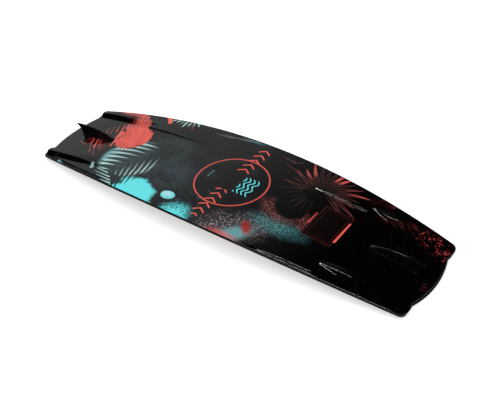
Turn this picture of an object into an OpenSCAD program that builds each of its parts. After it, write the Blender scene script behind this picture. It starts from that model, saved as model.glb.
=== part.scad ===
// Twin-tip wakeboard without bindings, lying base up. X runs along the board, Y across it,
// and Z out of the base. The origin is midway along the board, level with the two tips
// that it rests on.

/* [Board] */
// Length from tip to tip
board_l = 1340; // [1300:5:1400]
// Greatest width, halfway along
board_w = 423; // [400:1:450]
// Width that the long edges have drawn in to, at the foot of each corner lobe
tip_w = 325; // [310:1:340]
// Rise of the base from the tips to the middle
base_rocker = 65; // [50:1:75]
// Thickness halfway along, on the centre line
mid_thick = 24; // [20:0.5:28]
// Thickness at the very tips
tip_thick = 15; // [14:0.5:18]
// How much thinner the board is at its long edges than on its centre line
edge_thinning = 13; // [10:0.5:14]
// Radius of each tip's end arc, seen from above
end_r = 333; // [300:1:380]

/* [Layers] */
// Thickness of the printed base sheet
skin_t = 0.6; // [0.4:0.1:1]
// Thickness of each glass laminate
laminate_t = 1.0; // [0.8:0.1:1.5]
// Width of the sidewall around the core
sidewall_w = 6; // [5:0.5:8]

/* [Corner rails] */
// Distance from the middle of the board to the start of a rail's low step
rail_start = 150; // [120:5:220]
// Distance from the middle of the board to the start of a rail's crest
crest_start = 380; // [340:5:420]
// Height of the low step
step_h = 3; // [2:0.5:4]
// Height of the crest above the base
crest_h = 13.5; // [9:0.5:16]
// Distance from the centre line to a rail's inner foot
rail_foot_y = 107; // [100:1:112]

/* [Binding inserts] */
// Distance between the middles of the two insert groups
stance = 558.8; // [508:12.7:609.6]
// Distance between the two rows of a group, across the board
row_gap = 152.4; // [140:0.1:160]
// Distance between neighbouring inserts in a row
insert_pitch = 25.4; // [20:0.1:30]
// Number of inserts in a row
inserts_per_row = 5; // [3:1:5]
// Radius of the tapped M6 hole
tap_r = 2.5; // [2.4:0.05:2.6]

/* [Centre fins] */
// Distance from the middle of the board to the middle of a fin's foot
fin_x = 548; // [530:1:560]
// Length of a fin's foot
fin_l = 146; // [130:1:150]
// Height of a fin's tip above its foot
fin_h = 36; // [25:1:40]
// How far a fin's tip reaches past its foot
fin_hook = 17; // [8:1:20]
// Thickness of a fin's blade
fin_t = 10; // [9:0.5:12]
// Distance between a fin's two screws
screw_gap = 50; // [45:1:55]

/* [Hidden] */

coarse_fn = 256;
fine_fn = 48;

half_l = board_l / 2;
half_w = board_w / 2;
// where the long edges are tip_w wide
tip_x = 614;

function arc_radius(run, rise) = (run * run + rise * rise) / (2 * rise);

// Base and deck are arcs along the board. The deck is also crowned across it, so it is a torus.
base_r = arc_radius(half_l, base_rocker);
deck_rocker = base_rocker - mid_thick + tip_thick;
deck_r = arc_radius(half_l, deck_rocker);
crown_r = arc_radius(half_w, edge_thinning);
side_r = arc_radius(tip_x, (board_w - tip_w) / 2);
deck_mid_z = deck_rocker;
base_mid_z = deck_mid_z + mid_thick;
arc_sweep = 25.2;
block_z = 200;
across = board_w + 60;

function arc_drop(r, run) = r - sqrt(r * r - run * run);
function base_z(x) = base_mid_z - arc_drop(base_r, x);
function deck_z(x, y) = deck_mid_z - arc_drop(deck_r, x) + arc_drop(crown_r, y);
function half_width(x) = half_w - arc_drop(side_r, x);
function ease(t) = let (c = min(1, max(0, t))) c * c * (3 - 2 * c);

// Corner lobes, where the rails run out past the end arc
lobe_x = 656;
lobe_y = 103;
lobe_r = 18;
lobe_inner_r = 8;
lobe_root_x = 560;
lobe_centre_x = lobe_x - lobe_r;
edge_lean = 1.014;
lobe_centre_y = half_width(lobe_centre_x) - lobe_r * edge_lean;

// Where the sidewall strips stop and the tip bands start
band_x = 560;

// Rails
rail_end = 654;
rail_nose_x = 634;
rail_nose_l = 21;
rail_steps = 28;
rail_nose_steps = 5;
rail_mid_y = 131;
step_run = 4;
rail_edge_gap = 4;
// Bond line under a rail, more than its straight steps sag under the base arc
rail_bond = 0.02;
// Least run of a crest's face, and the outer face's run for each millimetre it rises
foot_gap = 1;
outer_run = 1.25;

// Binding inserts
insert_r = 4.75;
insert_flange_r = 6.5;
insert_flange_t = 1;
insert_l = 12;
insert_hole_l = 10.5;
insert_recess = 0.4;
groove_depth = 0.6;
groove_l = 1.2;
insert_block_l = 170;
insert_block_w = 210;

// Fins and their fastenings
fin_gap = 0.2;
gasket_t = 0.8;
foot_z = fin_gap + gasket_t;
foot_w = 22;
foot_t = 2.6;
foot_flare = 6;
ramp_power = 2.6;
hook_power = 2.2;
profile_steps = 24;
fin_shift = -fin_l / 2;
nut_r = 4.2;
nut_l = 10;
nut_bore_r = 3.05;
screw_r = 3;
screw_reach = 9;
screw_at = [0, screw_gap];
head_r = 5.6;
head_l = 2.9;
head_gap = 0.3;
washer_r = 8;
washer_l = 3.4;
washer_lip = 0.5;
sleeve_r = 5;
sleeve_bore_r = 3.3;
// Keeps the sleeves' flat ends just inside the base's curve
sleeve_recess = 0.5;
drive_w = 1.1;
drive_l = 5.4;
drive_depth = 1.8;
fin_block_l = 120;
fin_block_w = 64;
fin_block_shift = 24;
eps = 0.01;

printed_black = [0.04, 0.04, 0.05];
gloss_black = [0.06, 0.06, 0.07];
glass_grey = [0.55, 0.57, 0.5];
foam_cream = [0.93, 0.9, 0.78];
wood_tan = [0.7, 0.52, 0.33];
steel_grey = [0.72, 0.73, 0.75];

// ---- plan outline, drawn in by i all round ----

module side_arcs(i) {
  intersection() {
    translate([0, half_w - side_r]) circle(side_r - i, $fn = coarse_fn);
    translate([0, side_r - half_w]) circle(side_r - i, $fn = coarse_fn);
  }
}

module end_arcs(i) {
  square([2 * (half_l - end_r), across], center = true);
  for (s = [-1, 1])
    translate([s * (half_l - end_r), 0]) circle(end_r - i, $fn = coarse_fn);
}

module lobe(i) {
  inner_x = lobe_x - lobe_inner_r;
  translate([lobe_root_x, lobe_y + i])
    square([lobe_centre_x - lobe_root_x, half_w - lobe_y]);
  translate([lobe_root_x, lobe_y + i])
    square([inner_x - lobe_root_x, lobe_centre_y - lobe_y - i]);
  translate([lobe_root_x, lobe_y + lobe_inner_r])
    square([lobe_x - i - lobe_root_x, lobe_centre_y - lobe_y - lobe_inner_r]);
  translate([inner_x, lobe_y + lobe_inner_r]) circle(lobe_inner_r - i, $fn = fine_fn);
  translate([lobe_centre_x, lobe_centre_y]) circle(lobe_r - i, $fn = fine_fn);
}

module plan(i) {
  intersection() {
    side_arcs(i);
    union() {
      end_arcs(i);
      for (sx = [0, 1], sy = [0, 1])
        mirror([sx, 0]) mirror([0, sy]) lobe(i);
    }
  }
}

module plan_block(i) {
  linear_extrude(height = block_z) plan(i);
}

// ---- solids bounded by the base and the deck, drawn in by i ----

module under_base(i) {
  translate([0, 0, base_mid_z - base_r])
    rotate([90, 0, 0]) cylinder(r = base_r - i, h = across, center = true, $fn = coarse_fn);
}

module over_deck(i) {
  translate([0, 0, deck_mid_z - deck_r])
    rotate([90, 0, 0]) rotate([0, 0, 90 - arc_sweep / 2])
      rotate_extrude(angle = arc_sweep, $fn = coarse_fn)
        intersection() {
          translate([deck_r + crown_r, 0]) circle(crown_r - i, $fn = coarse_fn);
          translate([deck_r, -across / 2]) square([block_z, across]);
        }
}

// The part of the children that lies between two depths under the base
module base_layer(from, to) {
  difference() {
    intersection() {
      children();
      under_base(from);
    }
    under_base(to);
  }
}

// The part of the children that lies between two depths inside the deck
module deck_layer(from, to) {
  difference() {
    intersection() {
      children();
      over_deck(from);
    }
    over_deck(to);
  }
}

module core_layer() {
  intersection() {
    children();
    under_base(skin_t + laminate_t);
    over_deck(skin_t + laminate_t);
  }
}

// ---- places ----

// Moves the children onto the base at x, with Z along the base's normal there
module on_base(x) {
  translate([0, 0, base_mid_z - base_r])
    rotate([0, asin(x / base_r), 0])
      translate([0, 0, base_r]) children();
}

// Draws a front-end fitting at either end: side 1 is the front, side -1 the rear
module at_end(side) {
  mirror([side > 0 ? 0 : 1, 0, 0]) on_base(fin_x) children();
}

// Depth of the deck under the base at distance s past the middle of a fin's foot
function deck_depth(s) = (base_z(fin_x + s) - deck_z(fin_x + s, 0)) * cos(asin(fin_x / base_r));

function insert_xs(side) =
  [for (k = [0:inserts_per_row - 1]) side * stance / 2 + (k - (inserts_per_row - 1) / 2) * insert_pitch];

module each_insert(side) {
  for (x = insert_xs(side), y = [-row_gap / 2, row_gap / 2])
    translate([x, y, deck_z(x, y) + insert_recess]) children();
}

module insert_holes(side) {
  each_insert(side) {
    translate([0, 0, -mid_thick]) cylinder(r = insert_flange_r, h = mid_thick + insert_flange_t, $fn = fine_fn);
    cylinder(r = insert_r, h = insert_l, $fn = fine_fn);
  }
}

// The stepped hole that each fin screw, its sleeve and its cup washer fill
module fin_holes(side) {
  at_end(side)
    for (s = screw_at) {
      translate([s, 0, -mid_thick]) cylinder(r = sleeve_r, h = mid_thick * 2, $fn = fine_fn);
      translate([s, 0, -deck_depth(s) - mid_thick])
        cylinder(r = washer_r, h = mid_thick + washer_l, $fn = fine_fn);
    }
}

module all_holes() {
  for (side = [-1, 1]) fin_holes(side);
}

module insert_block_box(side) {
  translate([side * stance / 2 - insert_block_l / 2, -insert_block_w / 2, 0])
    cube([insert_block_l, insert_block_w, block_z]);
}

module fin_block_box(side) {
  translate([side * (fin_x + fin_block_shift) - fin_block_l / 2, -fin_block_w / 2, 0])
    cube([fin_block_l, fin_block_w, block_z]);
}

// ---- board ----

module base_skin() {
  color(printed_black) difference() {
    base_layer(0, skin_t) plan_block(0);
    all_holes();
  }
}

module base_laminate() {
  color(glass_grey) difference() {
    base_layer(skin_t, skin_t + laminate_t) plan_block(0);
    all_holes();
  }
}

module foam_core() {
  color(foam_cream) difference() {
    core_layer() plan_block(sidewall_w);
    for (side = [-1, 1]) {
      insert_block_box(side);
      fin_block_box(side);
    }
  }
}

module deck_laminate() {
  color(glass_grey) difference() {
    deck_layer(skin_t, skin_t + laminate_t) plan_block(sidewall_w);
    all_holes();
    for (side = [-1, 1]) insert_holes(side);
  }
}

module deck_skin() {
  color(printed_black) difference() {
    deck_layer(0, skin_t) plan_block(sidewall_w);
    all_holes();
    for (side = [-1, 1]) insert_holes(side);
  }
}

module perimeter() {
  intersection() {
    difference() {
      plan_block(0);
      plan_block(sidewall_w);
    }
    under_base(skin_t + laminate_t);
    over_deck(0);
  }
}

// side 1 is the heel edge, side -1 the toe edge
module sidewall(side) {
  color(gloss_black) intersection() {
    perimeter();
    translate([-band_x, side > 0 ? 0 : -half_w, 0]) cube([2 * band_x, half_w, block_z]);
  }
}

module tip_band(side) {
  color(gloss_black) intersection() {
    perimeter();
    translate([side > 0 ? band_x : -half_l, -half_w, 0]) cube([half_l - band_x, board_w, block_z]);
  }
}

module insert_block(side) {
  color(wood_tan) difference() {
    core_layer() insert_block_box(side);
    insert_holes(side);
  }
}

module fin_block(side) {
  color(wood_tan) difference() {
    core_layer() fin_block_box(side);
    fin_holes(side);
  }
}

// ---- corner rails ----

function step_height(x) = step_h * ease((x - rail_start) / 200);
function crest_height(x) =
  step_height(x) + (crest_h - step_h) * ease((x - crest_start) / 140) * (1 - 0.2 * ease((x - 590) / 65));
function crest_inner_y(x) = 136 - 15 * ease((x - crest_start) / 90);
function crest_outer_y(x) = 140 - 3 * ease((x - 560) / 90);

// Where the crest's two faces meet the step, inside and outside
function crest_rise(x) = crest_height(x) - step_height(x);
function inner_foot_y(x) =
  max(rail_foot_y + step_run + foot_gap, crest_inner_y(x) - foot_gap - crest_rise(x));
function outer_foot_y(x) = crest_outer_y(x) + foot_gap + outer_run * crest_rise(x);

// How much of its section is left at x, as the rail closes to its rounded nose
function nose(x) = x <= rail_nose_x ? 1 : sqrt(1 - pow((x - rail_nose_x) / rail_nose_l, 2));

function rail_section(x) =
  let (
    f = nose(x),
    g = pow(f, 0.6),
    zb = base_z(x) + rail_bond,
    edge = half_width(x) - rail_edge_gap,
    rows = [
      [rail_foot_y, 0], [rail_foot_y + step_run, step_height(x)],
      [inner_foot_y(x), step_height(x)], [crest_inner_y(x), crest_height(x)],
      [crest_outer_y(x), crest_height(x)], [outer_foot_y(x), step_height(x)],
      [edge - step_run, step_height(x)], [edge, 0]
    ]
  )
  [for (p = rows) [x, rail_mid_y + (p[0] - rail_mid_y) * f, zb + max(p[1], eps) * g * sign(p[1])]];

function rail_xs() = concat(
  [for (k = [0:rail_steps]) rail_start + 5 + (rail_nose_x - rail_start - 5) * k / rail_steps],
  [for (k = [1:rail_nose_steps]) rail_nose_x + (rail_end - rail_nose_x) * sin(90 * k / rail_nose_steps)]
);

module rail_loft() {
  xs = rail_xs();
  n = len(xs);
  m = len(rail_section(rail_start));
  points = [for (x = xs) each rail_section(x)];
  walls = [
    for (k = [0:n - 2], j = [0:m - 1])
      let (a = k * m + j, b = k * m + (j + 1) % m)
        each [[a, b, b + m], [a, b + m, a + m]]
  ];
  near_cap = [for (j = [m - 1:-1:0]) j];
  far_cap = [for (j = [0:m - 1]) (n - 1) * m + j];
  polyhedron(points = points, faces = concat(walls, [near_cap, far_cap]), convexity = 4);
}

// side_x 1 is the front end, side_y 1 the heel edge
module rail(side_x, side_y) {
  color(gloss_black)
    mirror([side_x > 0 ? 0 : 1, 0, 0]) mirror([0, side_y > 0 ? 0 : 1, 0]) rail_loft();
}

// ---- binding inserts ----

module insert_body() {
  difference() {
    union() {
      cylinder(r = insert_flange_r, h = insert_flange_t, $fn = fine_fn);
      cylinder(r = insert_r, h = insert_l, $fn = fine_fn);
    }
    for (z = [4, 8])
      translate([0, 0, z]) difference() {
        cylinder(r = insert_r + 1, h = groove_l, $fn = fine_fn);
        translate([0, 0, -1]) cylinder(r = insert_r - groove_depth, h = groove_l + 2, $fn = fine_fn);
      }
    translate([0, 0, -1]) cylinder(r = tap_r, h = insert_hole_l + 1, $fn = fine_fn);
  }
}

module binding_inserts(side) {
  color("goldenrod") each_insert(side) insert_body();
}

// ---- centre fins, drawn on the base's normal frame ----

function ramp_top(t) = fin_h * (1 - pow(1 - t, ramp_power));

module fin_profile() {
  top = fin_l + fin_hook;
  polygon(concat(
    [for (k = [0:profile_steps]) [fin_shift + top * k / profile_steps, ramp_top(k / profile_steps)]],
    [for (k = [profile_steps - 1:-1:0])
      let (t = k / profile_steps) [fin_shift + fin_l + fin_hook * pow(t, hook_power), fin_h * t]],
    [[fin_shift + fin_l, -foot_t], [fin_shift, -foot_t]]
  ));
}

module foot_plan(w) {
  translate([fin_shift + w / 2, 0]) circle(w / 2, $fn = fine_fn);
  translate([fin_shift + w / 2, -w / 2]) square([fin_l - w, w]);
  translate([fin_shift + fin_l - w / 2, 0]) circle(w / 2, $fn = fine_fn);
}

// Section of the blade: straight sides, hollow flares down to the foot
module blade_section() {
  half = fin_t / 2;
  polygon(concat(
    [[-half - foot_flare, -foot_t]],
    [for (k = [0:8]) let (a = 90 * k / 8) [-half - foot_flare + foot_flare * sin(a), foot_flare * (1 - cos(a))]],
    [[-half, fin_h - 2], [-half + 2, fin_h], [half - 2, fin_h], [half, fin_h - 2]],
    [for (k = [8:-1:0]) let (a = 90 * k / 8) [half + foot_flare - foot_flare * sin(a), foot_flare * (1 - cos(a))]],
    [[half + foot_flare, -foot_t]]
  ));
}

module fin_blank() {
  intersection() {
    rotate([90, 0, 0]) linear_extrude(height = across, center = true) fin_profile();
    rotate([90, 0, 90]) linear_extrude(height = board_l, center = true) blade_section();
    union() {
      translate([0, 0, -foot_t]) linear_extrude(height = fin_h) foot_plan(foot_w);
      translate([0, 0, foot_flare]) linear_extrude(height = fin_h) square([board_l, fin_t], center = true);
    }
  }
}

// Everything below a fin's flat foot
module under_foot() {
  translate([-fin_l, -foot_w, foot_z - fin_h]) cube([2 * fin_l, 2 * foot_w, fin_h]);
}

module centre_fin(side) {
  color(gloss_black) at_end(side) difference() {
    fin_blank();
    under_foot();
    for (s = screw_at)
      translate([s, 0, foot_z - 1]) cylinder(r = nut_r, h = nut_l + 1, $fn = fine_fn);
  }
}

module fin_nuts(side) {
  color("goldenrod") at_end(side)
    for (s = screw_at)
      translate([s, 0, foot_z]) difference() {
        cylinder(r = nut_r, h = nut_l, $fn = fine_fn);
        translate([0, 0, -1]) cylinder(r = nut_bore_r, h = nut_l, $fn = fine_fn);
      }
}

// Its top is flat for the fin's foot, and its underside takes up the base's curve
module gasket_profile() {
  polygon(concat(
    [[fin_l / 2, foot_z], [-fin_l / 2, foot_z]],
    [for (k = [0:profile_steps])
      let (x = fin_l * (k / profile_steps - 0.5)) [x, fin_gap - arc_drop(base_r, x)]]
  ));
}

module fin_gasket(side) {
  color("dimgray") at_end(side) difference() {
    intersection() {
      rotate([90, 0, 0]) linear_extrude(height = foot_w, center = true) gasket_profile();
      translate([0, 0, foot_z - foot_t]) linear_extrude(height = foot_t) foot_plan(foot_w - 1);
    }
    for (s = screw_at)
      translate([s, 0, -foot_t]) cylinder(r = sleeve_bore_r, h = 3 * foot_t, $fn = fine_fn);
  }
}

module fin_screw(side, s) {
  deck = -deck_depth(s) + washer_lip;
  color(steel_grey) at_end(side) translate([s, 0, deck]) difference() {
    union() {
      cylinder(r1 = head_r, r2 = screw_r, h = head_l, $fn = fine_fn);
      cylinder(r = screw_r, h = deck_depth(s) - washer_lip + screw_reach, $fn = fine_fn);
    }
    for (a = [0, 90])
      rotate([0, 0, a]) translate([-drive_l / 2, -drive_w / 2, -eps]) cube([drive_l, drive_w, drive_depth]);
  }
}

module fin_cup_washers() {
  color(steel_grey)
    for (side = [-1, 1], s = screw_at)
      at_end(side) translate([s, 0, -deck_depth(s)]) difference() {
        cylinder(r = washer_r, h = washer_l, $fn = fine_fn);
        translate([0, 0, -eps]) cylinder(r = head_r + head_gap, h = washer_lip + 2 * eps, $fn = fine_fn);
        translate([0, 0, washer_lip])
          cylinder(r1 = head_r + head_gap, r2 = sleeve_bore_r, h = head_l, $fn = fine_fn);
        cylinder(r = sleeve_bore_r, h = 2 * washer_l, $fn = fine_fn);
      }
}

module fin_screw_sleeves() {
  color("gainsboro")
    for (side = [-1, 1], s = screw_at)
      at_end(side) translate([s, 0, -deck_depth(s) + washer_l]) difference() {
        cylinder(r = sleeve_r, h = deck_depth(s) - washer_l - sleeve_recess, $fn = fine_fn);
        translate([0, 0, -1]) cylinder(r = sleeve_bore_r, h = deck_depth(s) + 2, $fn = fine_fn);
      }
}

base_skin();
base_laminate();
foam_core();
deck_laminate();
deck_skin();
sidewall(-1);  // sidewall_toe
sidewall(1);  // sidewall_heel
tip_band(1);  // tip_band_front
tip_band(-1);  // tip_band_rear
insert_block(1);  // insert_block_front
insert_block(-1);  // insert_block_rear
fin_block(1);  // fin_block_front
fin_block(-1);  // fin_block_rear
rail(1, -1);  // rail_front_toe
rail(1, 1);  // rail_front_heel
rail(-1, -1);  // rail_rear_toe
rail(-1, 1);  // rail_rear_heel
binding_inserts(1);  // binding_inserts_front
binding_inserts(-1);  // binding_inserts_rear
fin_screw_sleeves();
fin_cup_washers();
centre_fin(1);  // centre_fin_front
centre_fin(-1);  // centre_fin_rear
fin_nuts(1);  // fin_nuts_front
fin_nuts(-1);  // fin_nuts_rear
fin_gasket(1);  // fin_gasket_front
fin_gasket(-1);  // fin_gasket_rear
fin_screw(1, screw_at[0]);  // fin_screw_front_inner
fin_screw(1, screw_at[1]);  // fin_screw_front_outer
fin_screw(-1, screw_at[0]);  // fin_screw_rear_inner
fin_screw(-1, screw_at[1]);  // fin_screw_rear_outer
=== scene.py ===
import bpy
import math
import numpy as np
from mathutils import Matrix, Vector
from mathutils.geometry import delaunay_2d_cdt


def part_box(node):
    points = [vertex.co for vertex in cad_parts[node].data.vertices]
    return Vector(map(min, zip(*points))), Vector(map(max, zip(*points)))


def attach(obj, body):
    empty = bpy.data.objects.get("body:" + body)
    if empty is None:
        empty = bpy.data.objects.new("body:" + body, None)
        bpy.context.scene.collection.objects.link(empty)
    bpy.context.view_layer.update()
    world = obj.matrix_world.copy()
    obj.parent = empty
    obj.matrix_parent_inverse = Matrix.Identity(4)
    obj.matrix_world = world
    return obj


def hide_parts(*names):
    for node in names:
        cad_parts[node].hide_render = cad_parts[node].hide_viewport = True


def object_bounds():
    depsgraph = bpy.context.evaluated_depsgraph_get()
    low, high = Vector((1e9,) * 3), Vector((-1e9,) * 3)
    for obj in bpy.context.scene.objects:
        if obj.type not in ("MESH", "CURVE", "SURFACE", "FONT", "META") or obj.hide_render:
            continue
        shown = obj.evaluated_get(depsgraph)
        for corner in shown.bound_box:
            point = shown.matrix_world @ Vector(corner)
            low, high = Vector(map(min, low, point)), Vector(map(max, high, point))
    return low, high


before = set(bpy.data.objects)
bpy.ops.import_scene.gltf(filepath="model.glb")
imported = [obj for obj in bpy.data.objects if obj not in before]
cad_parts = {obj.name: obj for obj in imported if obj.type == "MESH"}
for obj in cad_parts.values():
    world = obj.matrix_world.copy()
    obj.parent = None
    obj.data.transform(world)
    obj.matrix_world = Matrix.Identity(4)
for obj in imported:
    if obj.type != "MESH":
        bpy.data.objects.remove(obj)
cad_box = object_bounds()

MM = 0.001

# ------------------------ camera

# The photograph's viewing angle: azimuth, elevation and roll in degrees, distance and focal length
AZ, EL, ROLL = map(math.radians, (40.1792, 37.0555, -4.8717))
CAM_DISTANCE = 2.4652
SENSOR = 36.0
LENS = 60.152
SHIFT_X, SHIFT_Y = 0.04218, -0.05801

base_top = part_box("base_skin")[1].z
back = Vector((math.sin(AZ) * math.cos(EL), -math.cos(AZ) * math.cos(EL), math.sin(EL)))
level = Vector((math.cos(AZ), math.sin(AZ), 0))
upward = back.cross(level)
cam_x = level * math.cos(ROLL) + upward * math.sin(ROLL)
cam_y = upward * math.cos(ROLL) - level * math.sin(ROLL)
cam_data = bpy.data.cameras.new("camera")
cam_data.sensor_width = SENSOR
cam_data.lens = LENS
cam_data.shift_x = SHIFT_X
cam_data.shift_y = SHIFT_Y
cam_data.clip_start, cam_data.clip_end = 0.05, 60
camera = bpy.data.objects.new("camera", cam_data)
bpy.context.scene.collection.objects.link(camera)
turn = Matrix((cam_x, cam_y, back)).transposed()
camera.matrix_world = Matrix.Translation(Vector((0, 0, base_top)) + back * CAM_DISTANCE) @ turn.to_4x4()
bpy.context.scene.camera = camera

# ------------------------ the board's own curves, in millimetres

HALF_L = cad_box[1].x / MM
HALF_W = cad_box[1].y / MM
BASE_MID = base_top / MM
DECK_MID = 56.0
ROCKER_BASE, ROCKER_DECK, DECK_CROWN = 65.0, 56.0, 13.0
# the side arc: how far from the middle it is measured, and how much narrower the board is there
SIDE_RUN, SIDE_PULL = 614, 49
END_R = 333.0


def arc_radius(run, rise):
    return (run * run + rise * rise) / (2 * rise)


BASE_R = arc_radius(HALF_L, ROCKER_BASE)
DECK_R = arc_radius(HALF_L, ROCKER_DECK)
CROWN_R = arc_radius(HALF_W, DECK_CROWN)
SIDE_R = arc_radius(SIDE_RUN, SIDE_PULL)


def arc_drop(r, a):
    return r - np.sqrt(r * r - np.asarray(a, float) ** 2)


def base_z(x):
    return BASE_MID - arc_drop(BASE_R, x)


def deck_z(x, y):
    return DECK_MID - arc_drop(DECK_R, x) + arc_drop(CROWN_R, y)


def half_width(x):
    return HALF_W - arc_drop(SIDE_R, x)


def ease(t):
    t = np.clip(t, 0, 1)
    return t * t * (3 - 2 * t)


# ---- corner rails: low step, crest, rounded nose; each ramp has a start, a length and what it adds

STEP_X, STEP_RAMP, STEP_H = 150, 200, 3
CREST_X, CREST_RAMP, CREST_H = 380, 140, 10.5
DIP_X, DIP_RAMP, DIP = 590, 65, 0.2
CREST_IN_Y, CREST_OUT_Y = 136, 140
WIDEN_RAMP, WIDEN = 90, 15
PULL_X, PULL_RAMP, PULL = 560, 90, 3
FOOT_Y, STEP_RUN, RAIL_MID = 107.0, 4.0, 131.0
FOOT_GAP, OUTER_RUN = 1.0, 1.25
# the step's outer edge: its top and its foot, from the board's edge
STEP_TOP_IN, STEP_FOOT_IN = 9.5, 5.5
NOSE_X, NOSE_L = 634.0, 21.0
RAIL_END = NOSE_X + NOSE_L
NOSE_LEAST = 0.0004


def step_height(x):
    return STEP_H * ease((x - STEP_X) / STEP_RAMP)


def crest_height(x):
    crest = CREST_H * ease((x - CREST_X) / CREST_RAMP) * (1 - DIP * ease((x - DIP_X) / DIP_RAMP))
    return step_height(x) + crest


def crest_inner(x):
    return CREST_IN_Y - WIDEN * ease((x - CREST_X) / WIDEN_RAMP)


def crest_outer(x):
    return CREST_OUT_Y - PULL * ease((x - PULL_X) / PULL_RAMP)


def rail_kinks(ax):
    """(y, height, rounding) wherever a rail's section turns, from its inner foot to its outer one."""
    step, crest = step_height(ax), crest_height(ax)
    flat = 0 * step
    rise = crest - step
    edge = half_width(np.minimum(ax, RAIL_END))
    crest_foot = np.maximum(FOOT_Y + STEP_RUN + FOOT_GAP, crest_inner(ax) - FOOT_GAP - rise)
    return [(FOOT_Y + flat, flat, 1.3), (FOOT_Y + STEP_RUN + flat, step, 1.5), (crest_foot, step, 1.5),
            (crest_inner(ax), crest, 2.4), (crest_outer(ax), crest, 2.4),
            (crest_outer(ax) + FOOT_GAP + OUTER_RUN * rise, step, 2.4),
            (edge - STEP_TOP_IN, step, 2.0), (edge - STEP_FOOT_IN, flat, 1.5)]


def nose_left(ax):
    """How much of a rail's section is left as it closes to its rounded nose."""
    return np.sqrt(np.clip(1 - np.clip((ax - NOSE_X) / NOSE_L, 0, 1) ** 2, NOSE_LEAST, 1))


def ramp(t, w):
    """0 before, t after, with the corner rounded over w to each side."""
    return np.where(t < -w, 0, np.where(t > w, t, (t + w) ** 2 / (4 * w)))


def relief(x, y):
    """Height of the rails above the base arc."""
    ax, ay = np.abs(x), np.abs(y)
    wide = nose_left(ax)
    tall = np.where(ax >= RAIL_END, 0, wide ** 0.6)
    kinks = rail_kinks(ax)
    ys = [RAIL_MID + (y0 - RAIL_MID) * wide for y0, _, _ in kinks]
    z, last = 0, 0
    for k, (y0, (_, h, w)) in enumerate(zip(ys, kinks)):
        rate = (kinks[k + 1][1] - h) * tall / (ys[k + 1] - y0) if k < len(kinks) - 1 else 0 * h
        z = z + (rate - last) * ramp(ay - y0, w * wide)
        last = rate
    return np.maximum(z, 0)


def top_z(x, y):
    return base_z(x) + relief(x, y)


def slope_normal(height, x, y, h=0.25):
    """Upward unit normals of a height function at points (x, y)."""
    gx = (height(x + h, y) - height(x - h, y)) / (2 * h)
    gy = (height(x, y + h) - height(x, y - h)) / (2 * h)
    n = np.stack([-gx, -gy, np.ones_like(gx)], 1)
    return n / np.linalg.norm(n, axis=1)[:, None]


# ---- outline: end arc, notch, lobe, side arc

LOBE_X, LOBE_R, NOTCH_R, NOTCH_Y = 656.0, 18.0, 8.0, 111.0
LOBE_IN = LOBE_R * 1.014
END_ARC, NOTCH_ARC, LOBE_ARC = 17.7, 40, 80
LOBE_END_X = 628
# where the sidewall strips meet the tip bands
BAND_X = 560.0


def arc_points(cx, cy, r, a0, a1, n):
    return [(cx + r * math.cos(math.radians(a0 + (a1 - a0) * k / n)),
             cy + r * math.sin(math.radians(a0 + (a1 - a0) * k / n))) for k in range(n + 1)]


def quarter_outline():
    """Points from the middle of the front tip round to the middle of the heel edge."""
    cx = LOBE_X - LOBE_R
    cy = float(half_width(cx)) - LOBE_IN
    pts = arc_points(HALF_L - END_R, 0, END_R, 0, END_ARC, 26)
    pts += arc_points(LOBE_X - NOTCH_R, NOTCH_Y, NOTCH_R, -NOTCH_ARC, 0, 5)
    pts += [(LOBE_X, y) for y in np.linspace(NOTCH_Y + 5, cy - 4, 6)]
    pts += arc_points(cx, cy, LOBE_R, 0, LOBE_ARC, 14)
    side_xs = [*np.arange(LOBE_END_X, BAND_X, -7.0), *np.linspace(BAND_X, 0, 71)]
    return pts + [(float(x), float(half_width(x))) for x in side_xs]


def outline():
    quarter = quarter_outline()
    heel = quarter + [(-x, y) for x, y in reversed(quarter[:-1])]
    return np.array(heel + [(x, -y) for x, y in reversed(heel[1:-1])])


RIM = outline()


def rim_normals(p):
    """Outward unit normals of a closed loop that runs counter-clockwise."""
    t = np.roll(p, -1, 0) - np.roll(p, 1, 0)
    n = np.stack([t[:, 1], -t[:, 0]], 1)
    return n / np.linalg.norm(n, axis=1)[:, None]


RIM_N = rim_normals(RIM)


def inset(d):
    """The outline moved inwards by d."""
    return RIM - RIM_N * d


# ------------------------ mesh helpers

# cosine beyond which a face has turned away from a vertex's normal
TURNED = 0.2


def make_mesh(name, verts, faces, normals=None):
    """verts in millimetres; normals holds one vector per vertex, or None where the face's own is right."""
    data = bpy.data.meshes.new(name)
    data.from_pydata([tuple(c * MM for c in v) for v in verts], [], [tuple(int(i) for i in f) for f in faces])
    data.validate()
    data.polygons.foreach_set("use_smooth", [True] * len(data.polygons))
    data.update()
    obj = bpy.data.objects.new(name, data)
    bpy.context.scene.collection.objects.link(obj)
    if normals is None:
        return obj
    # a face that turns well away from a vertex's normal keeps its own
    loops = []
    for poly in data.polygons:
        for i in poly.vertices:
            n = normals.get(i)
            own = n is None or Vector(n).dot(poly.normal) < TURNED
            loops.append(tuple(poly.normal) if own else tuple(n))
    data.normals_split_custom_set(loops)
    return obj


def inside(points, loop):
    """Which points lie inside a closed loop, and how far each is from it."""
    a, b = loop, np.roll(loop, -1, 0)
    hit = np.zeros(len(points), bool)
    away = np.full(len(points), 1e9)
    for (ax, ay), (bx, by) in zip(a, b):
        x, y = points[:, 0], points[:, 1]
        crosses = (ay > y) != (by > y)
        at = ax + (y - ay) / (by - ay if by != ay else 1e-12) * (bx - ax)
        hit ^= crosses & (x < at)
        ex, ey = bx - ax, by - ay
        t = np.clip(((x - ax) * ex + (y - ay) * ey) / (ex * ex + ey * ey), 0, 1)
        away = np.minimum(away, np.hypot(x - ax - t * ex, y - ay - t * ey))
    return hit, away


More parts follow.
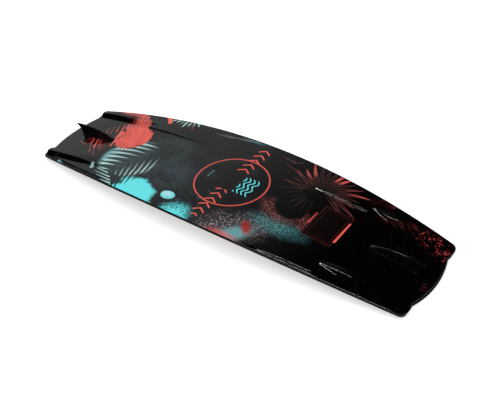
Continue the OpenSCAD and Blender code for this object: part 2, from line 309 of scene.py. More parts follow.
def triangulate(loops, inner, holes=()):
    """Triangles over the first loop, less round holes (x, y, r); indices run loops first, then inner."""
    pts, edges = [], []
    for loop in loops:
        start, n = len(pts), len(loop)
        pts += [tuple(p) for p in loop]
        edges += [(start + k, start + (k + 1) % n) for k in range(n)]
    pts += [tuple(p) for p in inner]
    out = delaunay_2d_cdt([Vector(p) for p in pts], edges, [], 1, 1e-7)
    back_to = [o[0] for o in out[3]]
    tris = []
    for f in out[2]:
        tri = [back_to[i] for i in f]
        cx = sum(pts[i][0] for i in tri) / 3
        cy = sum(pts[i][1] for i in tri) / 3
        if any((cx - hx) ** 2 + (cy - hy) ** 2 < r * r for hx, hy, r in holes):
            continue
        (x0, y0), (x1, y1), (x2, y2) = (pts[i] for i in tri)
        if (x1 - x0) * (y2 - y0) - (x2 - x0) * (y1 - y0) < 0:
            tri.reverse()
        tris.append(tri)
    return tris


def grid_inside(loop, xs, rows, margin, holes=()):
    """Grid points inside a loop and clear of it and of the holes by margin; rows(x) gives each station's ys."""
    pts = np.array([(x, y) for x in xs for y in rows(x)])
    hit, away = inside(pts, loop)
    keep = hit & (away > margin)
    for hx, hy, r in holes:
        keep &= np.hypot(pts[:, 0] - hx, pts[:, 1] - hy) > r + margin
    return pts[keep]


def bridge(a, b, n, flip=False):
    """Quads between closed rings of n vertices that start at indices a and b."""
    quads = [(a + k, a + (k + 1) % n, b + (k + 1) % n, b + k) for k in range(n)]
    return [q[::-1] for q in quads] if flip else quads


# ------------------------ base sheet with its rails

EDGE_R = 3.6
SKIN_T, LAMINATE_T = 0.6, 1.0
EDGE_STEPS = 6
EDGE_GAP = 0.05
GRID = 20.0
# sample rows stay this far apart, and this far in from the board's edge
ROW_GAP, ROW_IN, LAST_ROW_IN = 0.45, 4.2, 4.6
# stations stand closer together beyond each of these places
CLOSE_X, CLOSEST_X, LAST_STATION_X = 600, 628, 648


def edge_inset(depth):
    """How far the rounded base edge lies inside the outline, at a depth below the base."""
    return 0.0 if depth >= EDGE_R else EDGE_R - math.sqrt(EDGE_R ** 2 - (EDGE_R - depth) ** 2)


def rail_turns(ax):
    """Lateral places across a rail: five at each turn of its section, and some between two far ones."""
    left = float(nose_left(ax))
    kinks = [(RAIL_MID + (float(y) - RAIL_MID) * left, w * left) for y, _, w in rail_kinks(ax)]
    turns = [y + w * t for y, w in kinks for t in (-1, -0.5, 0, 0.5, 1)]
    for (y0, w0), (y1, w1) in zip(kinks, kinks[1:]):
        run = y1 - w1 - y0 - w0
        turns += list(np.linspace(y0 + w0, y1 - w1, 2 + int(run / 4))[1:-1]) if run > 4 else []
    return turns


def rail_rows(x):
    """Lateral sample places of a section: close together where the rails turn."""
    ax = min(abs(x), RAIL_END - 1)
    edge = float(half_width(ax))
    offs = [*range(0, 85, 12), 94, 101]
    if ax < STEP_X:
        offs += [*range(110, 201, 10), edge - 5]
    else:
        for o in sorted(rail_turns(ax) + [edge - LAST_ROW_IN]):
            if o > offs[-1] + ROW_GAP:
                offs.append(o)
    offs = [o for o in offs if o < edge - ROW_IN]
    return [s * o for o in offs for s in ((1, -1) if o else (1,))]


def stations():
    """Places along the board, from tip to tip, closer together towards the rails' noses."""
    xs = [0.0]
    while xs[-1] < LAST_STATION_X:
        xs.append(xs[-1] + (9.0 if xs[-1] < CLOSE_X else 5.0 if xs[-1] < CLOSEST_X else 2.0))
    return [-x for x in reversed(xs[1:])] + xs


def base_shell():
    ring = inset(EDGE_R)
    n = len(ring)
    inner = grid_inside(ring, stations(), rail_rows, 0.9)
    flat = np.vstack([ring, inner])
    verts = [(x, y, h) for (x, y), h in zip(flat, top_z(flat[:, 0], flat[:, 1]))]
    normals = dict(enumerate(slope_normal(top_z, flat[:, 0], flat[:, 1])))
    faces = triangulate([ring], inner)
    # rounded edge: an ellipse quarter as tall as the rail is above it
    ring_h = relief(ring[:, 0], ring[:, 1])
    rim_z = base_z(RIM[:, 0])
    last = 0
    for k in range(1, EDGE_STEPS + 1):
        start = len(verts)
        for i, out in enumerate(RIM_N):
            tall = EDGE_R + ring_h[i]
            a = math.acos((EDGE_R - SKIN_T) / tall) * k / EDGE_STEPS
            x, y = RIM[i] - out * (EDGE_R * (1 - math.sin(a)))
            verts.append((x, y, rim_z[i] - EDGE_R + tall * math.cos(a)))
            up = Vector((out[0] * math.sin(a) / EDGE_R, out[1] * math.sin(a) / EDGE_R, math.cos(a) / tall))
            normals[start + i] = up.normalized()
        faces += bridge(last, start, n, flip=True)
        last = start
    # underside
    start = len(verts)
    low = inset(edge_inset(SKIN_T) + EDGE_GAP)
    coarse = grid_inside(low, np.arange(-640, 641, GRID), lambda x: np.arange(-200, 201, GRID), 4)
    faces += bridge(last, start, n, flip=True)
    verts += [(x, y, float(base_z(x)) - SKIN_T) for x, y in [*low, *coarse]]
    faces += [tuple(start + i for i in reversed(t)) for t in triangulate([low], coarse)]
    return make_mesh("base_sheet", verts, faces, normals)


# ------------------------ flat sheets: base laminate and printed deck

HOLE_SIDES = 28


def plate(name, rim_top, rim_low, z_high, z_low, holes=(), spacing=GRID):
    """A closed sheet between two height functions, with round holes."""
    n_rim = len(rim_top)
    loops = [rim_top] + [arc_points(hx, hy, r, 0, 360, HOLE_SIDES)[:-1] for hx, hy, r in holes]
    inner = grid_inside(np.array(rim_top), np.arange(-660, 661, spacing),
                        lambda x: np.arange(-200, 201, spacing * 0.75), 3, holes)
    tris = triangulate(loops, inner, holes)
    flat = np.vstack([np.array(loop) for loop in loops] + [inner])
    count = len(flat)
    low_flat = flat.copy()
    low_flat[:n_rim] = rim_low
    verts = [(x, y, float(z_high(x, y))) for x, y in flat]
    verts += [(x, y, float(z_low(x, y))) for x, y in low_flat]
    faces = [tuple(t) for t in tris] + [tuple(count + i for i in reversed(t)) for t in tris]
    faces += bridge(0, count, n_rim, flip=True)
    for k in range(len(holes)):
        start = n_rim + k * HOLE_SIDES
        faces += bridge(start, count + start, HOLE_SIDES)
    normals = dict(enumerate(slope_normal(z_high, flat[:, 0], flat[:, 1])))
    low = -slope_normal(z_low, low_flat[:, 0], low_flat[:, 1])
    normals.update({count + i: v for i, v in enumerate(low)})
    return make_mesh(name, verts, faces, normals)


# ------------------------ edge strips: sidewalls and tip bands

STRIP_W = 6.0
DECK_EDGE_R = 3.4
FROM_BASE, FROM_DECK = 0, 1


def strip_section():
    """(inset, side, amount) down the outside and up the inside of a strip: amount counts down from the
    base or up from the deck, as side says."""
    top = SKIN_T + LAMINATE_T
    sec = [(edge_inset(d), FROM_BASE, d) for d in (top, 2.1, 2.8, EDGE_R)]
    for k in range(6):
        a = math.radians(90 * k / 5)
        sec.append((DECK_EDGE_R * (1 - math.cos(a)), FROM_DECK, DECK_EDGE_R * (1 - math.sin(a))))
    return sec + [(STRIP_W - 0.1, FROM_DECK, 0.0), (STRIP_W - 0.1, FROM_BASE, top)]


def edge_strip(name, first, last):
    """A strip along the outline from point first to point last."""
    ids = [i % len(RIM) for i in range(first, last + 1)]
    sec = strip_section()
    m = len(sec)
    verts, faces, normals = [], [], {}
    for k, i in enumerate(ids):
        for j, (d, side, amount) in enumerate(sec):
            x, y = RIM[i] - RIM_N[i] * d
            r, sign, z = EDGE_R, 1, float(base_z(x)) - amount
            if side == FROM_DECK:
                r, sign, z = DECK_EDGE_R, -1, float(deck_z(x, y)) + amount
            verts.append((x, y, z))
            if j < m - 2:
                c = (r - min(amount, r)) / r
                s = math.sqrt(1 - c * c)
                normals[k * m + j] = Vector((RIM_N[i][0] * s, RIM_N[i][1] * s, sign * c))
    for k in range(len(ids) - 1):
        for j in range(m):
            a, b = k * m + j, k * m + (j + 1) % m
            faces.append((a, a + m, b + m, b))
    faces.append(tuple(range(m)))
    faces.append(tuple((len(ids) - 1) * m + j for j in reversed(range(m))))
    return make_mesh(name, verts, faces, normals)


# ------------------------ centre fins

FIN_X, FIN_L, FIN_H, HOOK = 548.0, 146.0, 36.0, 17.0
RIDGE_POWER, HOOK_POWER, ROUND_POWER = 2.6, 2.2, 2.4
FIN_FOOT_W, FIN_BLADE, FIN_FLARE = 22.0, 10.0, 6.0
FIN_LIFT, FIN_TAPER = 1.0, 0.7
RIDGE_ROUND, EDGE_THIN_RUN = 4.2, 34
FIN_STEPS, HOOK_STEPS, FIN_ROWS = 44, 16, 22
# the least the fin may measure at its nose, ridge and tip
LEAST_NOSE_W2, LEAST_W, LEAST_H, LEAST_TIP_H = 0.3, 0.04, 0.9, 0.25
FIN_TILT = math.asin(FIN_X / BASE_R)


def rounded(gap, run):
    """How much of the width is left at a gap from a rounded end, 1 past its run."""
    return math.sqrt(max(1 - (1 - gap / run) ** ROUND_POWER, 0.0)) if gap < run else 1.0


def fin_half_width(s, z, low, high):
    """Half the fin's thickness at s along its foot and z above it, between its lower edge and its ridge."""
    half_l, foot_r = FIN_L / 2, FIN_FOOT_W / 2
    w = FIN_BLADE / 2 - FIN_TAPER * z / FIN_H
    if z < FIN_FLARE:
        w += FIN_FLARE * (1 - math.sqrt(1 - (1 - z / FIN_FLARE) ** 2))
    limit = foot_r
    nose_gap, tail_gap = s + half_l, half_l - s
    if nose_gap < foot_r:
        limit = math.sqrt(max(foot_r ** 2 - (foot_r - nose_gap) ** 2, LEAST_NOSE_W2))
    if 0 <= tail_gap < foot_r and z < FIN_FLARE:
        limit = min(limit, max(FIN_BLADE * 0.4, math.sqrt(max(foot_r ** 2 - (foot_r - tail_gap) ** 2, 0))))
    w = min(w, limit)
    # thinner towards the trailing edge, rounded along the ridge and along the hook's lower edge
    trailing = half_l + HOOK * (min(z, FIN_H) / FIN_H) ** HOOK_POWER
    w *= 0.55 + 0.45 * ease((trailing - s) / EDGE_THIN_RUN + 0.12)
    round_h = min(RIDGE_ROUND, (high - low) * 0.6)
    w *= rounded(high - z, round_h)
    if low > 0:
        w *= rounded(z - low, round_h * 0.5)
    return max(w, LEAST_W)


def fin_blade(name, side):
    """Stations run from the nose to the hooked tip; a section is a closed ring with a rounded ridge."""
    half_l = FIN_L / 2
    along = [-half_l + half_l * 2 * ease(k / FIN_STEPS) * 0.999 for k in range(1, FIN_STEPS)]
    along = [-half_l + 0.4, -half_l + 1.2, -half_l + 2.6] + [s for s in along if -half_l + 4 < s < half_l - 0.5]
    along += [half_l + HOOK * (k / HOOK_STEPS) ** 1.9 for k in range(HOOK_STEPS + 1)]
    verts, faces = [], []
    for s in along:
        t = (s + half_l) / (FIN_L + HOOK)
        high = max(FIN_H * (1 - (1 - min(t, 1)) ** RIDGE_POWER), LEAST_H)
        beyond = max(0.0, (s - half_l) / HOOK)
        low = min(FIN_H * beyond ** (1 / HOOK_POWER), high - LEAST_TIP_H)
        ring = []
        for j in range(FIN_ROWS + 1):
            z = low + (high - low) * (0.5 - 0.5 * math.cos(math.pi * j / FIN_ROWS))
            ring.append((s, fin_half_width(s, z, low, high), z + FIN_LIFT))
        verts += ring + [(a, -b, c) for a, b, c in reversed(ring)]
    m = 2 * (FIN_ROWS + 1)
    last = (len(along) - 1) * m
    for start in range(0, last, m):
        faces += bridge(start, start + m, m)
    faces.append(tuple(reversed(range(m))))
    faces.append(tuple(last + j for j in range(m)))
    foot_z = float(base_z(FIN_X))
    out = []
    for s, w, z in verts:
        px = FIN_X + s * math.cos(FIN_TILT) + z * math.sin(FIN_TILT)
        out.append((px * side, w * side, foot_z - s * math.sin(FIN_TILT) + z * math.cos(FIN_TILT)))
    return make_mesh(name, out, faces)


# ------------------------ shader helper

def math_call(name):
    """A method that makes one Math node."""
    return lambda value, *args: value.op(name, *args)


class S:
    """A shader value; ordinary sums and products on it make Math nodes."""

    def __init__(self, tree, out):
        self.tree, self.out = tree, out

    def op(self, name, *args):
        node = self.tree.nodes.new("ShaderNodeMath")
        node.operation = name
        for k, a in enumerate((self, *args)):
            if isinstance(a, S):
                self.tree.links.new(a.out, node.inputs[k])
            else:
                node.inputs[k].default_value = float(a)
        return S(self.tree, node.outputs[0])

    __add__ = __radd__ = math_call("ADD")
    __sub__ = math_call("SUBTRACT")
    __mul__ = __rmul__ = math_call("MULTIPLY")
    __truediv__ = math_call("DIVIDE")
    abs = math_call("ABSOLUTE")
    sqrt = math_call("SQRT")
    fract = math_call("FRACT")
    floor = math_call("FLOOR")
    power = math_call("POWER")
    atan2 = math_call("ARCTAN2")
    sine = math_call("SINE")
    min = math_call("MINIMUM")
    max = math_call("MAXIMUM")
    above = math_call("GREATER_THAN")

    def __neg__(self):
        return self * -1

    def __rsub__(self, other):
        return -self + other

    def clamp(self):
        return self.max(0).min(1)

    def step(self, lo, hi):
        """0 at lo, 1 at hi, smooth in between."""
        node = self.tree.nodes.new("ShaderNodeMapRange")
        node.interpolation_type = "SMOOTHSTEP"
        node.clamp = False
        self.tree.links.new(self.out, node.inputs["Value"])
        rising = hi > lo
        node.inputs["From Min"].default_value = lo if rising else hi
        node.inputs["From Max"].default_value = hi if rising else lo
        node.inputs["To Min"].default_value = 0 if rising else 1
        node.inputs["To Max"].default_value = 1 if rising else 0
        return S(self.tree, node.outputs["Result"])


class Paint:
    """A material under construction: coordinates in millimetres, textures, layered colours."""

    def __init__(self, name):
        self.mat = bpy.data.materials.new(name)
        self.mat.use_nodes = True
        self.tree = self.mat.node_tree
        self.tree.nodes.clear()
        self.out = self.tree.nodes.new("ShaderNodeOutputMaterial")
        self.bsdf = self.tree.nodes.new("ShaderNodeBsdfPrincipled")
        self.tree.links.new(self.bsdf.outputs[0], self.out.inputs[0])
        coord = self.tree.nodes.new("ShaderNodeTexCoord")
        scale = self.tree.nodes.new("ShaderNodeVectorMath")
        scale.operation = "SCALE"
        scale.inputs["Scale"].default_value = 1 / MM
        self.tree.links.new(coord.outputs["Object"], scale.inputs[0])
        self.place = scale.outputs[0]
        split = self.tree.nodes.new("ShaderNodeSeparateXYZ")
        self.tree.links.new(self.place, split.inputs[0])
        self.x, self.y = S(self.tree, split.outputs[0]), S(self.tree, split.outputs[1])
        self.colour = None

    def stretched(self, sx, sy, sz):
        node = self.tree.nodes.new("ShaderNodeVectorMath")
        node.operation = "MULTIPLY"
        self.tree.links.new(self.place, node.inputs[0])
        node.inputs[1].default_value = (sx, sy, sz)
        return node.outputs[0]

    def noise(self, size, detail=2.0, rough=0.5, stretch=None, distortion=0.0):
        """Soft noise whose lumps are about size millimetres across, 0 to 1."""
        node = self.tree.nodes.new("ShaderNodeTexNoise")
        node.inputs["Scale"].default_value = 1 / size
        node.inputs["Detail"].default_value = detail
        node.inputs["Roughness"].default_value = rough
        node.inputs["Distortion"].default_value = distortion
        self.tree.links.new(self.stretched(*stretch) if stretch else self.place, node.inputs["Vector"])
        return S(self.tree, node.outputs["Fac"])

    def cells(self, size):
        """(distance to the nearest cell point in millimetres, a random value per cell)."""
        node = self.tree.nodes.new("ShaderNodeTexVoronoi")
        node.inputs["Scale"].default_value = 1 / size
        self.tree.links.new(self.place, node.inputs["Vector"])
        split = self.tree.nodes.new("ShaderNodeSeparateXYZ")
        self.tree.links.new(node.outputs["Color"], split.inputs[0])
        return S(self.tree, node.outputs["Distance"]) * size, S(self.tree, split.outputs[0])

    def chance(self, value):
        """A random value, 0 to 1, for each whole number."""
        node = self.tree.nodes.new("ShaderNodeTexWhiteNoise")
        node.noise_dimensions = "1D"
        self.tree.links.new(value.out, node.inputs["W"])
        return S(self.tree, node.outputs["Value"])

    def lay(self, colour, mask=None):
        """Puts a colour over what is there, where mask is 1. The first colour is the ground."""
        if self.colour is None:
            node = self.tree.nodes.new("ShaderNodeRGB")
            node.outputs[0].default_value = (*colour, 1)
            self.colour = node.outputs[0]
            return
        node = self.tree.nodes.new("ShaderNodeMix")
        node.data_type = "RGBA"
        # a colour Mix node takes its colours on inputs 6 and 7 and gives the result on output 2
        self.tree.links.new(self.colour, node.inputs[6])
        node.inputs[7].default_value = (*colour, 1)
        self.tree.links.new(mask.out, node.inputs[0])
        self.colour = node.outputs[2]

    def done(self, rough=None, bump=None, bump_height=0.05, **sockets):
        t = self.tree
        if self.colour is not None:
            t.links.new(self.colour, self.bsdf.inputs["Base Color"])
        if rough is not None:
            t.links.new(rough.out, self.bsdf.inputs["Roughness"])
        if bump is not None:
            node = t.nodes.new("ShaderNodeBump")
            node.inputs["Strength"].default_value = 1.0
            node.inputs["Distance"].default_value = bump_height * MM
            t.links.new(bump.out, node.inputs["Height"])
            t.links.new(node.outputs[0], self.bsdf.inputs["Normal"])
        for k, v in sockets.items():
            self.bsdf.inputs[k.replace("_", " ")].default_value = v
        return self.mat


# ------------------------ print: leaves, strokes, spray

BLACK = (0.0009, 0.0009, 0.0010)
CORAL = (0.86, 0.118, 0.088)
TEAL = (0.13, 0.80, 0.84)
PALE = (0.55, 0.83, 0.82)


def stroke(p, x0, y0, x1, y1, w0, w1=None, soft=0.7):
    """A round-ended stroke whose half width goes from w0 to w1."""
    w1 = w0 if w1 is None else w1
    dx, dy = x1 - x0, y1 - y0
    l2 = dx * dx + dy * dy
    t = ((p.x - x0) * (dx / l2) + (p.y - y0) * (dy / l2)).clamp()
    ex, ey = p.x - x0 - t * dx, p.y - y0 - t * dy
    gap = (ex * ex + ey * ey).sqrt() - (t * (w1 - w0) + w0)
    return gap.step(soft, -soft)


def blot(p, x, y, rx, ry, angle=0.0, soft=0.35, wobble=None):
    """A soft-edged ellipse, 1 inside and 0 outside."""
    c, s = math.cos(math.radians(angle)), math.sin(math.radians(angle))
    u = ((p.x - x) * c + (p.y - y) * s) / rx
    v = ((p.y - y) * c - (p.x - x) * s) / ry
    r = (u * u + v * v).sqrt()
    if wobble is not None:
        r = r + wobble
    return r.step(1 + soft, 1 - soft)


def fan(p, x, y, mid, span, n, r_in, r_out, half, bend=0.0, vary=0.35):
    """A fan leaf: n pointed leaflets over span degrees about mid. Returns (mask, its outline, place along a
    leaflet, chance)."""
    c, s = math.cos(math.radians(mid)), math.sin(math.radians(mid))
    u = (p.x - x) * c + (p.y - y) * s
    v = (p.y - y) * c - (p.x - x) * s
    r = (u * u + v * v).sqrt()
    a = v.atan2(u) + r * (math.radians(bend) / r_out)
    pitch = math.radians(span) / n
    t = a / pitch + n / 2
    k = t.floor()
    length = p.chance(k) * (-vary * (r_out - r_in)) + (r_out - r_in)
    rho = (r - r_in) / length
    lateral = (t.fract() - 0.5).abs() * r * pitch
    shape = rho.step(-0.05, 0.3) * (1 - rho * rho * rho).max(0)
    gap = lateral - shape * half
    on = t.above(0) * (n - t).above(0) * (1 - rho).above(0) * rho.above(0)
    return gap.step(0.6, -0.6) * on, (gap + 1.4).abs().step(1.8, 0.7) * on, rho, p.chance(k + 0.37)


def feather(p, x, y, angle, length, wide, pitch, slants, bow=0.0, curls=(0.15, 0.15)):
    """A feather leaf: tapering leaflets curve forwards from a bowed rib. wide, pitch, slants and curls hold
    a value for each side of the rib, the second for the left-hand one. Returns (mask, place along a
    leaflet, chance)."""
    vary, rib = 0.2, 1.2
    c, s = math.cos(math.radians(angle)), math.sin(math.radians(angle))
    u = (p.x - x) * c + (p.y - y) * s
    v = (p.y - y) * c - (p.x - x) * s
    v = v + u * (1 - u / (0.92 * length)) * bow
    av = v.abs()
    left = v.above(0)

    def side(pair):
        return left * (pair[1] - pair[0]) + pair[0]
    step, curl = side(pitch), side((curls[0] / wide[0], curls[1] / wide[1]))
    slant = side(slants)
    q = u - av * slant - av * av * curl + left * (pitch[1] / 2)
    k = (q / step).floor() + left * 31
    along = (q / length).clamp()
    env = (along * (1 - along) * 4).max(0.0001).power(0.4)
    luck = p.chance(k)
    rho = av / (env * (luck * -vary + 1) * side(wide)).max(0.01)
    shape = ((1 - rho).max(0.0001).power(0.6) * (1.05 + luck * 0.12)).min(1)
    steep = slant + av * curl * 2
    gap = (((q / step).fract() - 0.5).abs() - shape * 0.5) * step / (steep * steep + 1).sqrt()
    on = q.above(0) * (length - q).above(0) * (1 - rho).above(0)
    rib_mask = av.step(rib + 0.6, rib - 0.6) * u.above(-0.1 * length) * (length - u).above(0)
    return (gap.step(0.6, -0.6) * on).max(rib_mask), rho, luck


def clouds_and_light(p):
    """Faint clouds in the black, so that it isn't one flat tone, and the light behind the big leaf: dim all
    round it, pale towards the toe edge and the rear tip."""
    p.lay((0.010, 0.013, 0.015), p.cloud.step(0.42, 0.75) * p.x.step(250, -50) * 0.8)
    haze = blot(p, -165, -65, 62, 66, -40, 0.6, p.wob) * p.cloud.step(0.3, 0.6)
    p.lay((0.030, 0.050, 0.066), haze * 0.7)
    p.lay((0.016, 0.030, 0.031), blot(p, -285, -22, 132, 86, 60, 0.2, p.wob * 0.4) * 0.9)
    glow = blot(p, -342, -62, 98, 96, 0, 0.10, p.wob * 0.4)
    p.lay((0.05, 0.30, 0.31), glow * p.x.step(-280, -380) * 0.9)
    lit = (p.x.step(-262, -330) * 0.8).max(p.y.step(-5, -85) * 0.85) * (0.45 + p.cloud * 0.7)
    p.lay(PALE, glow * lit * (1 - p.x.step(-404, -436) * 0.6))


def teal_patch(p):
    """Solid teal at the toe edge, and a teal line along the edge beside it."""
    p.lay(TEAL, blot(p, -222, -212, 86, 84, 0, 0.10, (p.cloud - 0.5) * 0.8 + (p.grain - 0.5) * 0.12))
    p.lay(TEAL, (p.y + HALF_W).step(20, 3) * p.x.step(-440, -320) * p.x.step(-150, -190) * 0.9)


# (from x, y, to x, y, half width, strength) of loose strands on the coral leaf's rear side, and of bright
# veins in front of the rear fin's foot
STRANDS = ((-512, 92, -478, 22, 4.5, 0.9), (-500, 66, -470, -4, 5, 0.95), (-528, 84, -508, 44, 2.6, 0.6),
           (-556, 62, -540, 30, 3.0, 0.35), (-540, 70, -522, 30, 2.2, 0.4), (-484, 30, -462, -30, 4, 0.8),
           (-590, 168, -560, 128, 5, 0.5), (-572, 146, -548, 112, 2.4, 0.35))
VEINS = ((-556, -12, -540, -44, 3.2, 0.8), (-540, -4, -512, -58, 3.4, 0.95), (-526, -6, -500, -50, 2.0, 0.7),
         (-512, -58, -480, -92, 2.0, 0.45), (-540, -44, -508, -84, 2.2, 0.5), (-504, -30, -478, -66, 1.8, 0.45),
         (-598, -40, -566, -52, 3.0, 0.35), (-574, -30, -552, -62, 1.6, 0.35))


def coral_leaf(p):
    """Broad blades that run across the board near the rear tip, cut by dark slits."""
    wavy = (p.noise(34, 2, 0.5) - 0.5) * 16
    blade_u = p.x + (p.y - 40) * 0.20 + (p.y - 40) * (p.y - 40) * 0.0016 + wavy
    off = ((blade_u / 15).fract() - 0.5).abs()
    slit_w = 0.05 + p.noise(30, 2, 0.5, (1, 0.5, 1)).step(0.40, 0.62) * 0.22
    slits = (off - slit_w).step(0.035, -0.035)
    body = blot(p, -424, 38, 62, 66, 22, 0.04, p.wob * 0.5 + off * 0.34 - 0.10)
    arm = blot(p, -520, 158, 84, 36, -27, 0.05, p.wob * 0.35 + off * 0.4 - 0.12)
    neck = blot(p, -462, 108, 42, 44, -30, 0.08, p.wob * 0.4)
    p.lay((0.66, 0.115, 0.095), arm.max(neck))
    p.lay(CORAL, body)
    solid = blot(p, -410, 40, 44, 46, 20, 0.6)
    p.lay((0.16, 0.018, 0.016), slits * (1 - solid * 0.6) * body.max(arm).max(neck) * 0.72)
    p.lay((0.56, 0.05, 0.045), p.noise(6, 2, 0.5, (1, 0.25, 1)).step(0.50, 0.64) * body.max(arm) * 0.40)
    for x0, y0, x1, y1, w, power in STRANDS:
        p.lay((0.74, 0.13, 0.11), stroke(p, x0, y0, x1, y1, w * 0.35, w) * power)
    # dark red blades in front of the fin's foot, with bright veins: the coral leaf's blades run on here as
    # print, and their dark red is painted shade, the fin's shadow and its dark mirror image
    under = blot(p, -522, -32, 62, 26, -14, 0.2, p.wob * 0.6)
    p.lay((0.085, 0.006, 0.006), under * p.noise(11, 2, 0.5, (1, 0.4, 1)).step(0.40, 0.56) * 0.9)
    for x0, y0, x1, y1, w, power in VEINS:
        p.lay((0.70, 0.12, 0.10), stroke(p, x0, y0, x1, y1, w * 0.4, w) * power * p.fine.step(0.25, 0.5))
    # painted reflection: black laid over the print on the inner face of the rear heel rail, standing for the
    # dark front that this face mirrors
    painted_dark_reflection = (p.y - 121).abs().step(20, 13) * p.x.step(-462, -500)
    p.lay(BLACK, painted_dark_reflection * 0.97)


def big_leaf(p):
    """A feather leaf of dark blades over the light, the coral and the teal."""
    leaf, _, _ = feather(p, -228, 62, 240, 262, (118, 112), (26, 25), (0.50, 0.62), 0.34, (0.25, 0.45))
    p.lay((0.0030, 0.010, 0.0115), leaf * 0.96)
    p.lay((0.035, 0.05, 0.05), stroke(p, -232, 58, -262, 22, 1.0, 1.4) * 0.8)
    p.lay((0.003, 0.012, 0.014), blot(p, -345, -178, 72, 25, 2, 0.12, p.wob * 0.3) * 0.95)
    for x0, y0, x1, y1 in ((-404, -150, -352, -156), (-398, -165, -330, -170), (-378, -178, -316, -183),
                           (-352, -190, -306, -193)):
        p.lay(PALE, stroke(p, x0, y0, x1, y1, 0.6, 2.8) * 0.7)


def edge_marks(p):
    """Leaf tips and flecks at the edges of the rear end, and streaks along the heel edge."""
    p.lay(CORAL, stroke(p, -404, 204, -367, 160, 9, 7))
    tips, _, rho, luck = fan(p, -318, 262, 268, 84, 8, 64, 110, 4.4, vary=0.3)
    p.lay(PALE, tips * (0.25 + luck * 0.6) * rho.step(0.0, 0.45))
    p.lay((0.30, 0.04, 0.04), stroke(p, -286, 178, -272, 160, 1.5, 3.4) * 0.6)
    p.lay(PALE, stroke(p, -434, -138, -424, -154, 4, 6, 3) * 0.6)
    p.lay((0.30, 0.80, 0.80), stroke(p, -566, -168, -552, -178, 5, 9, 4) * 0.75)
    for x0, y0, x1, y1, w in ((-184, 177, -120, 181, 1.4), (-150, 184, -62, 192, 1.8),
                              (-96, 198, -30, 202, 1.6)):
        p.lay((0.30, 0.36, 0.36), stroke(p, x0, y0, x1, y1, w * 0.4, w, 1.5) * p.grain.step(0.3, 0.55) * 0.75)
    p.lay(TEAL, blot(p, -40, 197, 30, 5, 3, 0.6, (p.grain - 0.5) * 1.6) * 0.12)


def pebble_and_splash(p):
    """A round pebble, and a teal splash with black specks behind the ring."""
    p.lay((0.002, 0.004, 0.006), blot(p, -109, -152, 34, 28, 0, 0.2))
    p.lay((0.16, 0.72, 0.74), blot(p, -109, -152, 23.5, 18, 0, 0.04, (p.grain - 0.5) * 0.12))
    p.lay(PALE, blot(p, -113, -148, 17, 11, 0, 0.5, (p.grain - 0.5) * 1.2) * 0.6)
    p.lay(TEAL, blot(p, -40, -222, 42, 52, 0, 0.35, p.wob + (p.grain - 0.5) * 2.4))
    near = blot(p, -36, -165, 52, 84, -12, 0.8)
    d, r = p.cells(5.2)
    p.lay(BLACK, (d - r * 3.0).step(0.4, -0.4) * near)
    d, r = p.cells(6.4)
    p.lay((0.16, 0.42, 0.44), (d - r * 1.9).step(0.4, -0.4) * near * p.fine.step(0.35, 0.6) * 0.8)
    d, r = p.cells(9.0)
    p.lay((0.05, 0.10, 0.11), (d - r * 2.0).step(0.5, -0.5) * blot(p, -90, -95, 75, 60, -30, 0.9))


def spray_band(p):
    """Speckled spray on the toe side in front of the ring, and a dark leaf with a rusty speckled rim."""
    band = blot(p, 128, -168, 96, 52, 34, 0.7, p.wob * 1.4)
    band2 = blot(p, 232, -92, 70, 30, 4, 0.7, p.wob * 1.4)
    d, r = p.cells(4.8)
    dots = (d - r * 2.7).step(0.45, -0.45)
    p.lay((0.11, 0.10, 0.11), band * p.grain.step(0.40, 0.60) * 0.7)
    teal_edge = blot(p, 152, -186, 46, 24, 50, 0.6, p.wob * 1.4 + (p.grain - 0.5) * 1.6)
    p.lay((0.12, 0.40, 0.42), teal_edge * 0.85)
    p.lay((0.36, 0.27, 0.30), band * dots * r.step(0.5, 0.6))
    p.lay((0.10, 0.34, 0.36), band2 * p.grain.step(0.42, 0.60) * 0.85)
    p.lay((0.60, 0.10, 0.09), blot(p, 122, -214, 44, 20, 4, 0.6, (p.grain - 0.5) * 1.8) * 0.85)
    p.lay((0.30, 0.018, 0.018), blot(p, 168, -144, 27, 14, -48, 0.25, (p.grain - 0.5) * 2.6) * 0.92)
    p.lay(BLACK, dots * band.max(band2) * r.step(0.45, 0.2) * 0.9)
    rim = blot(p, 214, -16, 72, 60, -18, 0.25, p.wob * 0.8) * p.y.step(16, -18)
    rim = rim.max(blot(p, 284, -34, 14, 34, 6, 0.3, p.wob))
    p.lay((0.12, 0.028, 0.028), rim * p.grain.step(0.42, 0.58) * 0.7)
    p.lay((0.26, 0.085, 0.08), rim * (d - r * 2.9).step(0.5, -0.5))
    p.lay((0.0010, 0.0012, 0.0016), blot(p, 222, -4, 52, 42, -14, 0.12, p.wob * 0.8))


